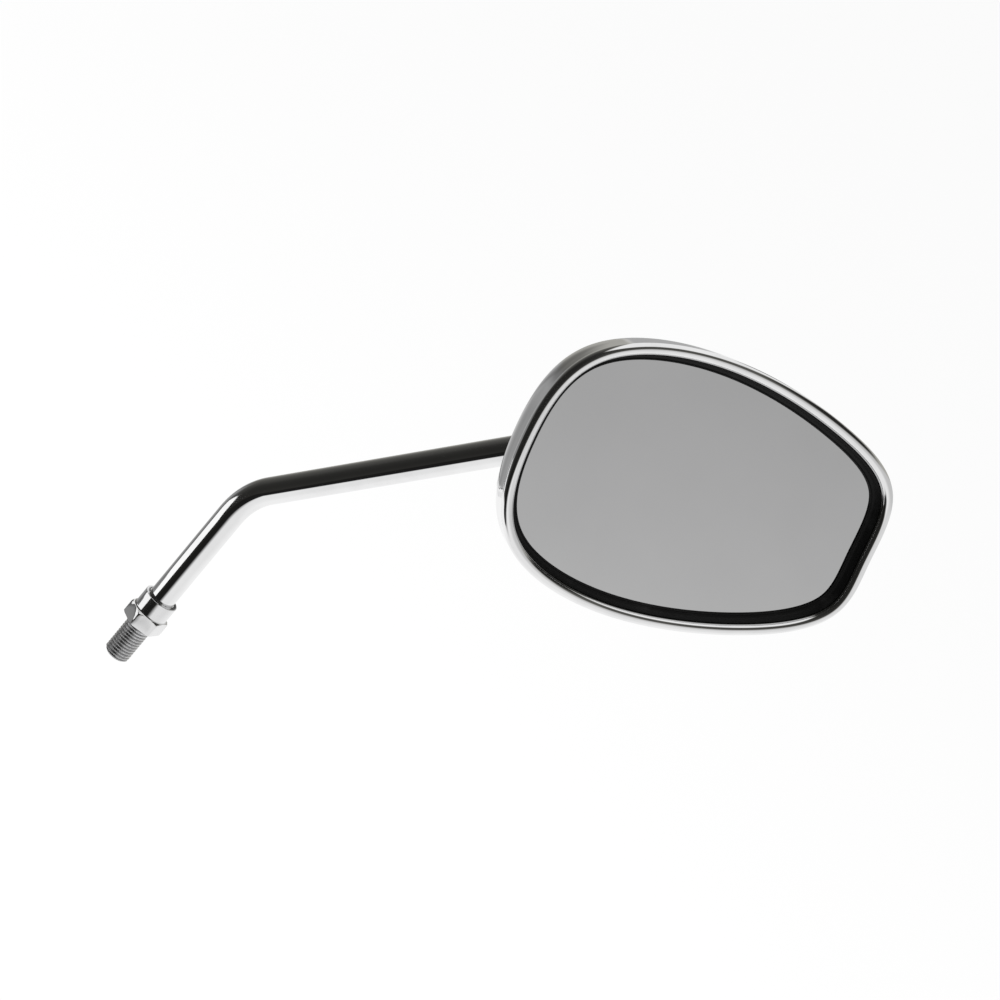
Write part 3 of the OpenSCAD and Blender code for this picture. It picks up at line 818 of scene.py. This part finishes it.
def studioWorld():
    edge = skyEdges
    world = bpy.data.worlds.new("studio")
    world.use_nodes = True
    bpy.context.scene.world = world
    kit = Kit(world.node_tree)
    for old in list(kit.tree.nodes):
        kit.tree.nodes.remove(old)
    way = kit.node("ShaderNodeTexCoord", output="Generated")
    high = kit.along(way, studioWay(0, 1, 0))
    side = kit.along(way, studioWay(1, 0, 0))
    front = kit.along(way, studioWay(0, 0, 1))
    aside = (side * side + high * high).root().most(0.001)
    degrees = front.least(1.0).most(-1.0).turnBack() * (180 / math.pi) / aside
    across, rise = side * degrees, high * degrees
    slant = rise - across * sky["slant"]

    def farFrom(place):
        x, y = across - place[0], rise - place[1]
        return (x * x + y * y).root()
    # dark ceiling, lighter away from its middle and to the left
    stops = [(place, (level, level, level)) for place, level in sky["ceiling"]]
    ceiling = kit.node("ShaderNodeValToRGB", {"stops": stops}, [farFrom(sky["middle"]) / 180.0])
    leftWall = ((across * -1 + rise * 0.8).ramp(*edge["leftFar"]) * rise.ramp(*edge["leftTop"])
                * sky["leftLevel"])
    nearWall = (across.ramp(*edge["nearRight"]) * across.ramp(*edge["nearLeft"]) * rise.ramp(*edge["nearLow"])
                * rise.ramp(*edge["nearTop"], *sky["nearLevels"]))
    streak = (across.ramp(*edge["streakLeft"]) * across.ramp(*edge["streakRight"])
              * slant.ramp(*edge["streakLow"]) * slant.ramp(*edge["streakTop"]))
    dark = kit.blend(streak, ceiling + leftWall + nearWall, sky["streakLevel"])
    # light floor and walls, and a light corner at the upper right
    corner = (across.ramp(*edge["cornerLeft"]) * rise.ramp(*edge["cornerLow"])
              * (rise + across).ramp(*edge["cornerSlope"]) * slant.ramp(*edge["cornerSlant"]))
    light = kit.blend(rise.ramp(*edge["floorFar"]), sky["light"], sky["floorLight"])
    light = kit.blend(across.ramp(*edge["leftSide"]), light, sky["leftLight"])
    light = light - across.ramp(*edge["dipRight"]) * rise.ramp(*edge["dipLow"]) * sky["rightDip"]
    light = light - across.ramp(*edge["lowDipRight"]) * rise.ramp(*edge["lowDipTop"]) * sky["lowDip"]
    cornerLight = rise.ramp(*edge["cornerFar"], sky["rightLight"], sky["farCorner"])
    light = kit.blend(corner, light, cornerLight)
    light = kit.blend(farFrom(sky["patch"]).ramp(*edge["patchRim"]), light, sky["patchLevel"])
    roof = (rise.ramp(*edge["roofLow"]) * (rise + across * 0.49).ramp(*edge["roofLeft"])
            * (rise - across * 0.41).ramp(*edge["roofRight"]) * (1 - corner))
    level = kit.blend(roof, light, dark)
    # a round black thing beside the camera, with a soft edge on one side
    sharp = farFrom(sky["lens"]).ramp(*edge["lensRim"])
    soft = farFrom(sky["lensSoft"]).ramp(*edge["lensSoftRim"])
    level = kit.blend(1 - (1 - sharp) * (1 - soft), level, sky["lensLevel"])
    # the camera sees plain white, matt surfaces an even light, and gloss the room
    path = kit.node("ShaderNodeLightPath")
    plain = kit.blend(path.out("Is Camera Ray"), sky["plain"], 1.0)
    strength = kit.blend(path.out("Is Glossy Ray"), plain, level)
    warm = roof * across.ramp(*edge["tintLeft"]) * path.out("Is Glossy Ray")
    colour = kit.blendColours(warm, (1, 1, 1), sky["tint"])
    shine = kit.node("ShaderNodeBackground", None, {"Color": colour, "Strength": strength})
    kit.node("ShaderNodeOutputWorld", None, [shine])


studioWorld()

floorLook = {"z": -0.42, "size": 14.0, "shadowShare": 0.4}
low, high = -floorLook["size"] / 2, floorLook["size"] / 2
floorZ = floorLook["z"]
floorFinish = Finish("paleFloor", Specular_IOR_Level=0.0)
floorFinish.put("Base Color", (1.0, 1.0, 1.0, 1.0))
floorFinish.put("Roughness", 1.0)
path = floorFinish.node("ShaderNodeLightPath")
clear = path.most(path.out("Is Glossy Ray")).most(path.out("Is Transmission Ray"))
glow = floorFinish.node("ShaderNodeEmission", None, {"Color": (1, 1, 1, 1), "Strength": 1.0})
shaded = Value(floorFinish, floorFinish.shader.outputs[0])
mixed = floorFinish.node("ShaderNodeMixShader", None, [clear * (1 - floorLook["shadowShare"]), shaded, glow])
floorFinish.tree.links.new(mixed.socket, floorFinish.tree.nodes["Material Output"].inputs["Surface"])
floorCorners = [(low, low, floorZ), (high, low, floorZ), (high, high, floorZ), (low, high, floorZ)]
floor = meshPiece("floor", floorCorners, [[0, 1, 2, 3]], floorFinish.material)
floor.visible_glossy = False

# A narrow white screen close by on the left, its edges given upwards and towards the camera, in millimetres
screen = {"side": -250.0, "shine": 1.12,
          "low": [(-40, 60), (-32, 48), (-18, 20), (-6, -3), (8, -8), (20, -14), (30, -36)],
          "high": [(3, 96), (19, 82), (45, 58), (71, 32), (82, 10), (86, -20), (86, -38)]}
rowStart = Vector((-131.04, -45.4, 0.0))  # where the row's origin stands in the view, in millimetres


def roomPoint(x, y, z):
    # a spot given in the camera's right, up and back from the middle of the view
    seen = Vector((x, y, z)) - rowStart
    return (rightWay * seen.x + upWay * seen.y + backWay * seen.z) * mm


def screenMesh():
    lowEdge = [roomPoint(screen["side"], y, z) for y, z in screen["low"]]
    highEdge = [roomPoint(screen["side"], y, z) for y, z in screen["high"]]
    count = len(lowEdge)
    return lowEdge + highEdge, [[i, i + 1, count + i + 1, count + i] for i in range(count - 1)]


screenFinish = Finish("whiteScreen")
lit = screenFinish.node("ShaderNodeEmission", None, {"Color": (1, 1, 1, 1), "Strength": screen["shine"]})
screenFinish.tree.links.new(lit.socket, screenFinish.tree.nodes["Material Output"].inputs["Surface"])
screenPoints, screenFaces = screenMesh()
whiteScreen = meshPiece("whiteScreen", screenPoints, screenFaces, screenFinish.material)
whiteScreen.visible_camera = whiteScreen.visible_diffuse = whiteScreen.visible_shadow = False

lamps = {"overhead": {"spot": (0.3, -0.5, 1.6), "size": 1.4, "power": 9.0},
         "side": {"spot": (-1.3, -0.7, 0.7), "size": 1.0, "power": 4.0}}
lampAim = Vector((0.05, 0, 0.1))
for name, look in lamps.items():
    lamp = linked(name, bpy.data.lights.new(name, "AREA"))
    lamp.data.shape, lamp.data.size, lamp.data.energy = "DISK", look["size"], look["power"]
    lamp.location = look["spot"]
    lamp.rotation_euler = (lampAim - Vector(look["spot"])).to_track_quat("-Z", "Y").to_euler()
    lamp.visible_glossy = False
bpy.context.scene.view_settings.view_transform = "Standard"
print("stage made")
